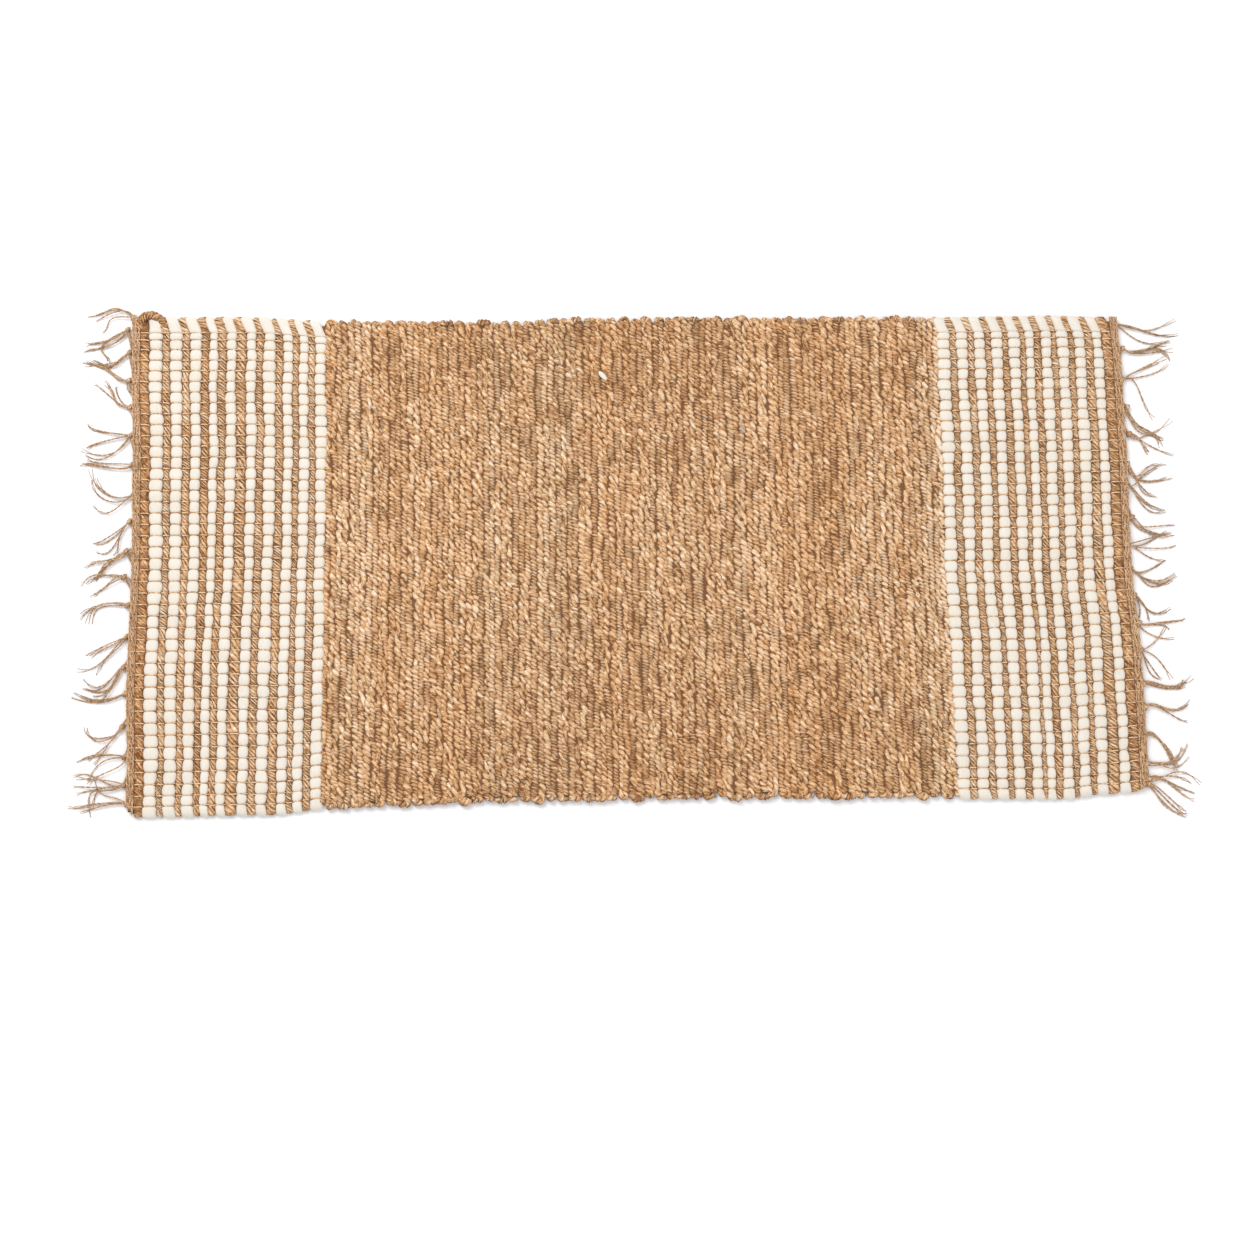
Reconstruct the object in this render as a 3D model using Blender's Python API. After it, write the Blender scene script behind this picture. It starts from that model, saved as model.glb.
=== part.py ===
"""A hand-woven jute and cotton runner rug, lying flat.

X runs along the rug, Y across it and Z up. The origin is on the floor under the middle of the rug.

The picks (weft strands) lie across the rug. Each pair of warp cords runs the whole length, one cord
above the picks and one below. Neighbouring pairs are tied together in a knot at each end, with their
loose ends as a tassel.
"""

import math

import bmesh
import bpy
from mathutils import Matrix, Vector

# Overall sizes, in metres. The length is that of the woven cloth, without its fringe.
RUG_LENGTH = 1.220
RUG_WIDTH = 0.600
RUG_THICKNESS = 0.0108

# The gap between pieces that touch on the real rug.
FIT_GAP = 0.0003

# Warp: pairs of cords, the distance of the outermost pair from the edge, and how far a cord clears
# the floor.
WARP_PAIRS = 43
WARP_EDGE_INSET = 0.0145
CORD_DIAMETER = 0.0019
CORD_SIDES = 6
FLOOR_CLEARANCE = 0.0003

# Weft: the two striped bands, and the heading at each end.
COTTON_PICKS = 10
LEFT_COTTON_WIDTH = 0.0132
LEFT_JUTE_WIDTH = 0.0091
RIGHT_COTTON_WIDTH = 0.0123
RIGHT_JUTE_WIDTH = 0.0086
# How much wider than the mean a band's outermost pick is, and how much narrower its innermost one.
LEFT_BEAT_TAPER = 0.17
RIGHT_BEAT_TAPER = -0.05
PICK_EDGE_RADIUS = 0.0022
HEADING_LENGTH = 0.0215

# Fringe.
TASSELS = 19
KNOT_REACH = 0.0075
KNOT_RADIUS = 0.0042
TASSEL_LENGTH = 0.064
TASSEL_ROOT_RADIUS = 0.0030
TASSEL_TIP_RADIUS = 0.0052
TASSEL_TIP_HEIGHT = 0.0032
TASSEL_FLATNESS = 0.5
# The most that a tassel leans to one side, and how fast the lean changes from one tassel to the next.
TASSEL_SPLAY = math.radians(7)
RIGHT_SPLAY_STEP = 2.4
LEFT_SPLAY_STEP = 1.7

# Levels that follow from the sizes above.
CORD_RADIUS = CORD_DIAMETER / 2
LOWER_CORD_Z = FLOOR_CLEARANCE + CORD_RADIUS
UPPER_CORD_Z = RUG_THICKNESS - FLOOR_CLEARANCE - CORD_RADIUS
PICK_BOTTOM_Z = LOWER_CORD_Z + CORD_RADIUS + FIT_GAP
PICK_TOP_Z = UPPER_CORD_Z - CORD_RADIUS - FIT_GAP
GROOVE_WIDTH = CORD_DIAMETER + 2 * FIT_GAP
KNOT_Z = RUG_THICKNESS / 2
GATHER_EDGE_Z = FLOOR_CLEARANCE / 3

WARP_PITCH = (RUG_WIDTH - 2 * WARP_EDGE_INSET) / (WARP_PAIRS - 1)


def clear_scene():
    """Removes every object, so that only the rug is left."""
    for item in list(bpy.data.objects):
        bpy.data.objects.remove(item, do_unlink=True)


def make_material(name, colour, roughness):
    """A plain fibre material: no metal, one colour, one roughness."""
    material = bpy.data.materials.new(name)
    material.use_nodes = True
    shader = material.node_tree.nodes["Principled BSDF"]
    shader.inputs["Base Color"].default_value = (*colour, 1)
    shader.inputs["Roughness"].default_value = roughness
    shader.inputs["Metallic"].default_value = 0
    return material


def make_mesh(name, shape, material):
    """Turns a finished bmesh into mesh data with one material."""
    bmesh.ops.recalc_face_normals(shape, faces=shape.faces)
    mesh = bpy.data.meshes.new(name)
    shape.to_mesh(mesh)
    shape.free()
    mesh.materials.append(material)
    return mesh


def add_piece(name, mesh, rug, x=0.0):
    """Places mesh data as one named piece of the rug."""
    piece = bpy.data.objects.new(name, mesh)
    piece.location = (x, 0, 0)
    piece.parent = rug
    bpy.context.scene.collection.objects.link(piece)
    return piece


def pair_y(index):
    """The distance across the rug of one pair of warp cords."""
    return -RUG_WIDTH / 2 + WARP_EDGE_INSET + index * WARP_PITCH


def pick_mesh(name, width, material):
    """A bar right across the rug, between the upper and lower cords, with its long edges rounded."""
    shape = bmesh.new()
    bmesh.ops.create_cube(shape, size=1)
    height = PICK_TOP_Z - PICK_BOTTOM_Z
    bmesh.ops.scale(shape, vec=(width - FIT_GAP, RUG_WIDTH, height), verts=shape.verts)
    bmesh.ops.translate(shape, vec=(0, 0, (PICK_TOP_Z + PICK_BOTTOM_Z) / 2), verts=shape.verts)
    long_edges = [
        edge for edge in shape.edges if abs(edge.verts[0].co.y - edge.verts[1].co.y) > RUG_WIDTH / 2
    ]
    radius = min(PICK_EDGE_RADIUS, (width - FIT_GAP) * 0.45, height * 0.45)
    bmesh.ops.bevel(shape, geom=long_edges, offset=radius, segments=2, affect="EDGES", profile=0.5)
    return make_mesh(name, shape, material)


def groove_outline(edge_z, floor_z):
    """One face of a grooved slab seen from the end, from -Y to +Y: a groove for each pair's cord."""
    points = [(-RUG_WIDTH / 2, edge_z)]
    for index in range(WARP_PAIRS):
        left = pair_y(index) - GROOVE_WIDTH / 2
        right = pair_y(index) + GROOVE_WIDTH / 2
        points += [(left, edge_z), (left, floor_z), (right, floor_z), (right, edge_z)]
    points.append((RUG_WIDTH / 2, edge_z))
    return points


def grooved_slab_mesh(name, length, material):
    """Picks beaten close together, as one slab with open grooves above and below for the warp cords."""
    upper = groove_outline(RUG_THICKNESS, PICK_TOP_Z)
    lower = groove_outline(0, PICK_BOTTOM_Z)
    outline = lower + upper[::-1]
    shape = bmesh.new()
    end_face = shape.faces.new([shape.verts.new((-length / 2, y, z)) for y, z in outline])
    grown = bmesh.ops.extrude_face_region(shape, geom=[end_face])
    moved = [item for item in grown["geom"] if isinstance(item, bmesh.types.BMVert)]
    bmesh.ops.translate(shape, vec=(length, 0, 0), verts=moved)
    return make_mesh(name, shape, material)


def add_band(side, direction, cotton_width, jute_width, taper, cotton, jute, rug):
    """Alternating cotton and jute picks, from the heading inwards. Returns where the band ends."""
    reach = RUG_LENGTH / 2 - HEADING_LENGTH
    for step in range(2 * COTTON_PICKS - 1):
        if step % 2:
            kind, width, material = "jute", jute_width, jute
        else:
            kind, width, material = "cotton", cotton_width, cotton
        width *= 1 + taper * (1 - step / (COTTON_PICKS - 1))
        name = f"{side}_{kind}_pick_{step // 2 + 1:02}"
        add_piece(name, pick_mesh(name, width, material), rug, direction * (reach - width / 2))
        reach -= width
    return reach


def add_headings(material, rug):
    """The outer jute pick and the fine heading of each end, beaten together as one slab."""
    mesh = grooved_slab_mesh("heading", HEADING_LENGTH - FIT_GAP, material)
    middle = (RUG_LENGTH - HEADING_LENGTH) / 2
    add_piece("left_heading_band", mesh, rug, -middle)
    add_piece("right_heading_band", mesh, rug, middle)


def add_centre_field(left_end, right_end, material, rug):
    """The close jute picks between the two bands."""
    length = left_end + right_end
    mesh = grooved_slab_mesh("centre_field", length - FIT_GAP, material)
    add_piece("centre_field_weft", mesh, rug, (right_end - left_end) / 2)


def add_ring(shape, centre, radius, sides):
    """Loose corners of a round section across X."""
    corners = []
    for step in range(sides):
        turn = 2 * math.pi * (step + 0.5) / sides
        y = centre.y + radius * math.cos(turn)
        z = centre.z + radius * math.sin(turn)
        corners.append(shape.verts.new((centre.x, y, z)))
    return corners


def add_hull(shape, corners):
    """Closes the convex solid around some corners, and drops the corners inside it."""
    result = bmesh.ops.convex_hull(shape, input=corners)
    inside = [item for item in result["geom_interior"] if isinstance(item, bmesh.types.BMVert)]
    bmesh.ops.delete(shape, geom=inside, context="VERTS")


def add_gather(shape, pairs, side, knot):
    """The cords of a bundle drawn together from the heading to the knot, above and below."""
    wall = side * (RUG_LENGTH / 2 + FIT_GAP)
    first_y = pair_y(pairs[0]) - CORD_DIAMETER
    last_y = pair_y(pairs[-1]) + CORD_DIAMETER
    corners = add_ring(shape, knot, KNOT_RADIUS / 2, CORD_SIDES)
    for y in (first_y, last_y):
        for z in (GATHER_EDGE_Z, RUG_THICKNESS - GATHER_EDGE_Z):
            corners.append(shape.verts.new((wall, y, z)))
    add_hull(shape, corners)


def add_tassel(shape, side, knot, splay):
    """The loose ends beyond the knot, as one tapered tail that comes down to lie on the floor."""
    tip = knot + TASSEL_LENGTH * Vector((side * math.cos(splay), math.sin(splay), 0))
    tip.z = TASSEL_TIP_HEIGHT
    root_corners = add_ring(shape, knot, TASSEL_ROOT_RADIUS, CORD_SIDES)
    tip_corners = add_ring(shape, tip, TASSEL_TIP_RADIUS, CORD_SIDES)
    for corner in tip_corners:
        corner.co.z = tip.z + (corner.co.z - tip.z) * TASSEL_FLATNESS
    add_hull(shape, root_corners + tip_corners)


def add_end(shape, pairs, side, splay):
    """One end of a bundle: its cords gathered to the knot, the knot, and the tassel."""
    middle_y = sum(pair_y(index) for index in pairs) / len(pairs)
    knot = Vector((side * (RUG_LENGTH / 2 + KNOT_REACH), middle_y, KNOT_Z))
    add_gather(shape, pairs, side, knot)
    place = Matrix.Translation(knot)
    bmesh.ops.create_icosphere(shape, subdivisions=1, radius=KNOT_RADIUS, matrix=place)
    add_tassel(shape, side, knot, splay)


def add_cord(shape, y, z):
    """One straight warp cord, reaching a little into the gathers at both ends."""
    reach = RUG_LENGTH / 2 + KNOT_REACH / 8
    corners = add_ring(shape, Vector((-reach, y, z)), CORD_RADIUS, CORD_SIDES)
    corners += add_ring(shape, Vector((reach, y, z)), CORD_RADIUS, CORD_SIDES)
    add_hull(shape, corners)


def add_bundle(number, pairs, material, rug):
    """The warp pairs of one tassel as one body: two knotted ends, joined by the cords."""
    ends = bmesh.new()
    add_end(ends, pairs, 1, TASSEL_SPLAY * math.sin(number * RIGHT_SPLAY_STEP))
    add_end(ends, pairs, -1, TASSEL_SPLAY * math.cos(number * LEFT_SPLAY_STEP))
    name = f"warp_bundle_{number:02}"
    piece = add_piece(name, make_mesh(name, ends, material), rug)
    cords = bmesh.new()
    for index in pairs:
        add_cord(cords, pair_y(index), LOWER_CORD_Z)
        add_cord(cords, pair_y(index), UPPER_CORD_Z)
    helper = add_piece(f"{name}_cords", make_mesh(f"{name}_cords", cords, material), rug)
    helper.hide_render = True
    helper.display_type = "WIRE"
    union = piece.modifiers.new("cords", "BOOLEAN")
    union.operation = "UNION"
    union.solver = "EXACT"
    union.use_self = True
    union.object = helper


def add_warp(material, rug):
    """Shares the warp pairs out among the tassels, two or three to each."""
    first = 0
    for number in range(1, TASSELS + 1):
        last = round(number * WARP_PAIRS / TASSELS)
        add_bundle(number, list(range(first, last)), material, rug)
        first = last


def build_rug():
    """The whole rug, from its bands and field to the warp that holds them."""
    clear_scene()
    rug = bpy.data.objects.new("runner_rug", None)
    bpy.context.scene.collection.objects.link(rug)
    cotton = make_material("cotton_weft", (0.83, 0.80, 0.73), 0.95)
    jute = make_material("jute_weft", (0.50, 0.31, 0.15), 0.9)
    heading = make_material("jute_heading", (0.44, 0.30, 0.17), 0.9)
    warp = make_material("jute_warp", (0.56, 0.39, 0.21), 0.9)
    left_widths = (LEFT_COTTON_WIDTH, LEFT_JUTE_WIDTH, LEFT_BEAT_TAPER)
    right_widths = (RIGHT_COTTON_WIDTH, RIGHT_JUTE_WIDTH, RIGHT_BEAT_TAPER)
    left_end = add_band("left", -1, *left_widths, cotton, jute, rug)
    right_end = add_band("right", 1, *right_widths, cotton, jute, rug)
    add_centre_field(left_end, right_end, jute, rug)
    add_headings(heading, rug)
    add_warp(warp, rug)


build_rug()
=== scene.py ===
import math
from types import SimpleNamespace

import bmesh
import bpy
import numpy as np
from mathutils import Matrix, Vector


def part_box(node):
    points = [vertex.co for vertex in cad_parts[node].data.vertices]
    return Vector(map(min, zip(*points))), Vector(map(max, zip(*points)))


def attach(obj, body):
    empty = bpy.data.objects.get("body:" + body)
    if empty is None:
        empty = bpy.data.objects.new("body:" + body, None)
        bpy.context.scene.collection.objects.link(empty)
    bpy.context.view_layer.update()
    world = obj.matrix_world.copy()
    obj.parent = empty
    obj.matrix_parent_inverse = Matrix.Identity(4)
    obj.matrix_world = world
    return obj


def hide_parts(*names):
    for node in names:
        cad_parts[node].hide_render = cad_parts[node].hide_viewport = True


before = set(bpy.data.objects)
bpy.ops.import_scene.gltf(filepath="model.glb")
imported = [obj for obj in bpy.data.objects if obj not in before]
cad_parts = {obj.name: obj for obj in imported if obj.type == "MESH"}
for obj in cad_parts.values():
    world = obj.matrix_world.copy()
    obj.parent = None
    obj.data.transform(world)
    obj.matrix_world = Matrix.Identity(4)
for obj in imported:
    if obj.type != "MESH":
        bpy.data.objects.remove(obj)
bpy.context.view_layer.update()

# ------------------------------------------------
# Camera. It looks almost straight down on the rug, which lies a little above the middle of the view.
CAMERA_ELEVATION = math.radians(81)
CAMERA_DISTANCE = 2.35
CAMERA_AIM = Vector((-0.007, -0.0864, 0))
CAMERA_LENS = 55.7

camera_data = bpy.data.cameras.new("camera")
camera_data.lens = CAMERA_LENS
camera_data.sensor_width = 36
camera = bpy.data.objects.new("camera", camera_data)
away = Vector((0, -math.cos(CAMERA_ELEVATION), math.sin(CAMERA_ELEVATION)))
camera.location = CAMERA_AIM + CAMERA_DISTANCE * away
camera.rotation_euler = (math.pi / 2 - CAMERA_ELEVATION, 0, 0)
bpy.context.scene.collection.objects.link(camera)
bpy.context.scene.camera = camera

# ------------------------------------------------
# Centre field: chunky two-ply jute, beaten up close. Each pick turns back round the outer warp pair at
# the edge of the cloth, so two neighbouring runs share one blunt lobe there.
MM = 0.001
RUNS = 104
RUNS_IN_PIECE = 8
RUN_RINGS = 300
FIELD_SIDES = 6
# One full turn of the two plies about each other, along the yarn.
FIELD_TWIST = 0.0122
# A yarn's half width as a share of the room it has: the neighbours bed into each other.
FIELD_FULLNESS = 0.70
PICK_HALF_HEIGHT = 0.0047
# Nothing of the rug reaches lower than this over the floor.
FLOOR_GAP = 0.0002
# The turns at the edges: where they start from the edge, the least reach of one, and how blunt they are.
TURN_RINGS = 7
TURN_INSET = 0.0072
LEAST_TURN = 0.004
TURN_SQUARE = 0.55

field_low, field_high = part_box("centre_field_weft")
HALF_WIDTH = field_high.y
MIDDLE_Z = field_high.z / 2
CLOTH_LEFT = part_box("left_heading_band")[0].x
CLOTH_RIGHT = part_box("right_heading_band")[1].x

# How far each long edge has crept towards the far side, at places along the rug.
FAR_EDGE_PLACES = (-0.61, -0.47, -0.36, -0.19, 0.0, 0.2, 0.39, 0.53, 0.61)
FAR_EDGE_CREEP = (0.001, 0.001, -0.005, -0.006, 0.0, -0.001, 0.001, 0.003, 0.001)
NEAR_EDGE_PLACES = (-0.61, -0.44, -0.35, -0.18, 0.0, 0.09, 0.32, 0.39, 0.51, 0.56, 0.61)
NEAR_EDGE_CREEP = (-0.021, -0.018, -0.009, -0.002, 0.0, 0.003, 0.004, 0.001, 0.001, 0.007, 0.011)
# How far the cloth has been pulled to the right, in millimetres, at places up the rug: one row each for
# the left heading, the left and the right side of the field, and the right heading.
SWAY_PLACES = (-0.30, -0.256, -0.133, -0.01, 0.115, 0.235, 0.30)
SWAYS = (
    (6.5, 6.0, 1.4, 2.0, -1.5, -7.3, -9.0),
    (3.0, 2.7, 2.1, 1.5, 0.2, -3.3, -5.0),
    (3.7, 3.0, 0.0, -4.5, -4.5, -7.0, -7.0),
    (8.5, 9.5, 7.5, 0.0, 0.0, -2.2, -5.5),
)


def ramp(value, start, end):
    """0 before start, 1 past end, and even in between."""
    return np.clip((value - start) / (end - start), 0, 1)


def squared_off(value, power):
    """A sine or cosine made blunter, so that a round outline turns squarish."""
    return np.sign(value) * np.abs(value) ** power


def eased(place, stations, values):
    """A curve through a few values, level at each of them."""
    spot = np.clip(np.searchsorted(stations, place) - 1, 0, len(stations) - 2)
    stations, values = np.asarray(stations), np.asarray(values)
    part = ramp(place, stations[spot], stations[spot + 1])
    part = part * part * (3 - 2 * part)
    return values[spot] * (1 - part) + values[spot + 1] * part


def lay(s, t, z):
    """Where a point of the true, square cloth lies on the floor: hand weaving leaves no edge straight."""
    far_creep = eased(s, FAR_EDGE_PLACES, FAR_EDGE_CREEP)
    near_creep = eased(s, NEAR_EDGE_PLACES, NEAR_EDGE_CREEP)
    share = (t + HALF_WIDTH) / (2 * HALF_WIDTH)
    sways = np.stack([MM * eased(t, SWAY_PLACES, row) for row in SWAYS])
    part = np.interp(s, [CLOTH_LEFT, field_low.x, field_high.x, CLOTH_RIGHT], [0, 1, 2, 3])
    whole = np.minimum(part.astype(int), 2)
    part -= whole
    x = s + np.choose(whole, sways[:3]) * (1 - part) + np.choose(whole, sways[1:]) * part
    y = t + near_creep * (1 - share) + far_creep * share
    return np.stack([x, y, z + 0 * x], -1)


def drift(rows, samples, knots, seed):
    """Smooth random wander between -1 and 1, one row for each strand."""
    values = np.random.default_rng(seed).uniform(-1, 1, (rows, knots + 1))
    place = np.linspace(0, knots, samples)
    first = np.minimum(place.astype(int), knots - 1)
    part = place - first
    part = part * part * (3 - 2 * part)
    return values[:, first] * (1 - part) + values[:, first + 1] * part


def length_along(s, t):
    """How far along a route each of its rings is."""
    return np.concatenate([[0], np.cumsum(np.hypot(np.diff(s), np.diff(t)))])


def plain_tube(rings, sides):
    """A straight closed tube along Z, a ring at each whole number, and each corner's ring and angle."""
    shape = bmesh.new()
    bmesh.ops.create_grid(shape, x_segments=sides, y_segments=rings - 1, size=0.5)
    for corner in shape.verts:
        turn = 2 * math.pi * (corner.co.x + 0.5)
        corner.co = (math.cos(turn), math.sin(turn), (corner.co.y + 0.5) * (rings - 1))
    bmesh.ops.remove_doubles(shape, verts=shape.verts, dist=1e-3)
    bmesh.ops.holes_fill(shape, edges=[edge for edge in shape.edges if edge.is_boundary])
    bmesh.ops.recalc_face_normals(shape, faces=shape.faces)
    mesh = bpy.data.meshes.new("plain_tube")
    shape.to_mesh(mesh)
    shape.free()
    places = np.empty(len(mesh.vertices) * 3)
    mesh.vertices.foreach_get("co", places)
    places = places.reshape(-1, 3)
    ring = np.rint(places[:, 2]).astype(int)
    angle = np.arctan2(places[:, 1], places[:, 0]) % (2 * math.pi)
    return SimpleNamespace(mesh=mesh, rings=rings, ring=ring, angle=angle)


STRIP_MARGIN = 0.02
STRIP_END_MARGIN = 0.002


def read_loops(mesh, collection, field):
    """One whole number for each corner or face of a mesh."""
    values = np.empty(len(collection), int)
    collection.foreach_get(field, values)
    return values


def strand_map(tube, mesh, count, run_rings):
    """Lays every run of every strand out as one upright strip of the map."""
    full = 2 * math.pi
    corners = read_loops(mesh, mesh.loops, "vertex_index")
    starts = read_loops(mesh, mesh.polygons, "loop_start")
    sizes = read_loops(mesh, mesh.polygons, "loop_total")
    strand, vertex = corners // len(tube.ring), corners % len(tube.ring)
    ring, angle = tube.ring[vertex], tube.angle[vertex]
    first = np.repeat(starts, sizes)
    turned = angle - angle[first]
    angle = angle[first] + (turned + math.pi) % full - math.pi
    lowest = np.repeat(np.minimum.reduceat(ring, starts), sizes)
    laps = np.floor(np.minimum.reduceat(angle, starts) / full + 1e-6)
    angle -= np.repeat(laps, sizes) * full
    runs = max(1, math.ceil((tube.rings - 1) / run_rings))
    column = strand * runs + np.minimum(lowest // run_rings, runs - 1)
    across = (column + STRIP_MARGIN + (1 - 2 * STRIP_MARGIN) * angle / full) / (count * runs)
    along = np.clip((ring - (column - strand * runs) * run_rings) / run_rings, 0, 1)
    along = STRIP_END_MARGIN + (1 - 2 * STRIP_END_MARGIN) * along
    layer = mesh.uv_layers.new(name="OFBake")
    layer.uv.foreach_set("vector", np.stack([across, along], -1).astype(np.float32).ravel())


def finished(name, shape, material):
    """A piece in the scene, from its shape and its material."""
    mesh = bpy.data.meshes.new(name)
    shape.to_mesh(mesh)
    shape.free()
    mesh.materials.append(material)
    piece = bpy.data.objects.new(name, mesh)
    bpy.context.scene.collection.objects.link(piece)
    return piece


def strand_piece(name, tube, strands, material, run_rings=None):
    """One object of many strands. Each strand gives its corners' places, fibre coordinates and tints."""
    group = bmesh.new()
    for _ in strands:
        group.from_mesh(tube.mesh)
    piece = finished(name, group, material)
    mesh = piece.data
    places = np.concatenate([strand.place for strand in strands])
    mesh.vertices.foreach_set("co", places.astype(np.float32).ravel())
    for layer in ("fibre", "tint"):
        values = np.concatenate([getattr(strand, layer) for strand in strands]).astype(np.float32)
        mesh.attributes.new(layer, "FLOAT_VECTOR", "POINT").data.foreach_set("vector", values.ravel())
    strand_map(tube, mesh, len(strands), run_rings or tube.rings)
    mesh.shade_smooth()
    mesh.update()
    return piece


def woven_in(piece, replaced=None):
    """Makes a piece part of the cloth."""
    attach(piece, "root")
    if replaced:
        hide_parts(replaced)


def fibre_shift(seed, ply=0):
    """Keeps the fibre patterns of two strands apart."""
    return 0.05 * (seed % 97 + ply)


# How long a stretch of tighter or looser twist is.
TWIST_DRIFT = 0.026


def yarn_turn(s, t, period, unevenness, seed):
    """How far the plies have turned about each other, ring by ring: no yarn is twisted quite evenly."""
    steps = np.concatenate([[0], np.hypot(np.diff(s), np.diff(t))])
    knots = max(2, int(steps.sum() / TWIST_DRIFT))
    evenness = 1 + unevenness * drift(1, len(s), knots, seed)[0]
    return np.cumsum(steps * 2 * math.pi / period * evenness)


def yarn_route(s, t, half_width, turn, crease, **given):
    """What spun() needs, ring by ring: the middle of the yarn (s, t and z), half its width and height,
    and the turn of its plies. A ply's radius is a share of the half width, made uneven by slow swelling
    (unevenness) and short lumps (lumpiness). The crease is where a ply's inner side, darkened with
    dust and painted shade, starts and ends, from -1 to 1, and how light it stays there. Where a warp pair
    presses the yarn, it is darkened with painted shadow."""
    fields = {"z": MIDDLE_Z, "half_height": PICK_HALF_HEIGHT, "unevenness": 0.2, "dent": 0.0, **given}
    fields.update(s=s, t=t, half_width=half_width, turn=turn)
    rings = {name: np.broadcast_to(value, len(s)) for name, value in fields.items()}
    return SimpleNamespace(crease=crease, **rings)


# How long a ply's unevenness is along the yarn: its swelling, shade, flecks, hue and lumps.
DRIFT_LENGTHS = (0.012, 0.04, 0.006, 0.06, 0.0045)
MOST_SHADE = 1.8


def spun(tube, route, plies, seed, tone=0.0, hue=0.0):
    """The plies of one yarn along a route, each with its own swelling, lumps, shade and hue."""
    along = length_along(route.s, route.t)
    ahead_s, ahead_t = np.gradient(route.s), np.gradient(route.t)
    length = np.maximum(np.hypot(ahead_s, ahead_t), 1e-9)
    side_s, side_t = ahead_t / length, -ahead_s / length
    swell, tones, flecks, hues, lumps = (
        drift(plies, tube.rings, max(2, int(along[-1] / knot)), seed + number)
        for number, knot in enumerate(DRIFT_LENGTHS)
    )
    ring, angle = tube.ring, tube.angle
    made = []
    for ply in range(plies):
        turn = route.turn + 2 * math.pi * ply / plies
        size = route.share * (1 + route.unevenness * swell[ply] + route.lumpiness * lumps[ply])
        radius = size * route.half_width
        off_middle = 1 - route.share
        side = (off_middle * np.cos(turn))[ring] + size[ring] * np.cos(angle + turn[ring])
        rise = (off_middle * np.sin(turn))[ring] + size[ring] * np.sin(angle + turn[ring])
        across = route.half_width[ring] * side
        s = route.s[ring] + side_s[ring] * across
        t = route.t[ring] + side_t[ring] * across
        z = np.maximum(route.z[ring] + route.half_height[ring] * rise, FLOOR_GAP)
        # Dust and painted shade gather low on the yarn, between neighbours, between plies, behind lumps and
        # where a warp pair presses it.
        clear_of_dust_and_shade = np.minimum(ramp(rise, -0.16, 0.34), ramp(np.abs(side), 1.0, 0.7))
        crease_start, crease_end, crease_least = route.crease
        facing_out = ramp(np.cos(angle), crease_start, crease_end)
        clear_of_dust_and_shade *= (crease_least + (1 - crease_least) * facing_out) * (1 - route.dent[ring])
        clear_of_dust_and_shade *= 1 - 0.6 * ramp(lumps[ply], -0.2, -1.2)[ring]
        shade = np.clip(tone + 0.5 * tones[ply] + 0.75 * flecks[ply], -MOST_SHADE, MOST_SHADE)
        sideways, upward = radius[ring] * np.cos(angle), radius[ring] * np.sin(angle)
        fibre = np.stack([along[ring], sideways, upward + fibre_shift(seed, ply)], -1)
        tint = np.stack([shade[ring], (hue + 0.5 * hues[ply])[ring], clear_of_dust_and_shade], -1)
        made.append(SimpleNamespace(place=lay(s, t, z), fibre=fibre, tint=tint))
    return made


class Wire:
    """One output in a material. Sums and products of wires add the maths nodes for them."""

    def __init__(self, finish, socket):
        self.finish = finish
        self.socket = socket

    def maths(self, operation, first, second):
        return self.finish.node("ShaderNodeMath", {"operation": operation}, {0: first, 1: second})

    def __add__(self, other):
        return self.maths("ADD", self, other)

    def __sub__(self, other):
        return self.maths("SUBTRACT", self, other)

    def __rsub__(self, other):
        return self.maths("SUBTRACT", other, self)

    def __mul__(self, other):
        return self.maths("MULTIPLY", self, other)

    __radd__ = __add__
    __rmul__ = __mul__


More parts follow.
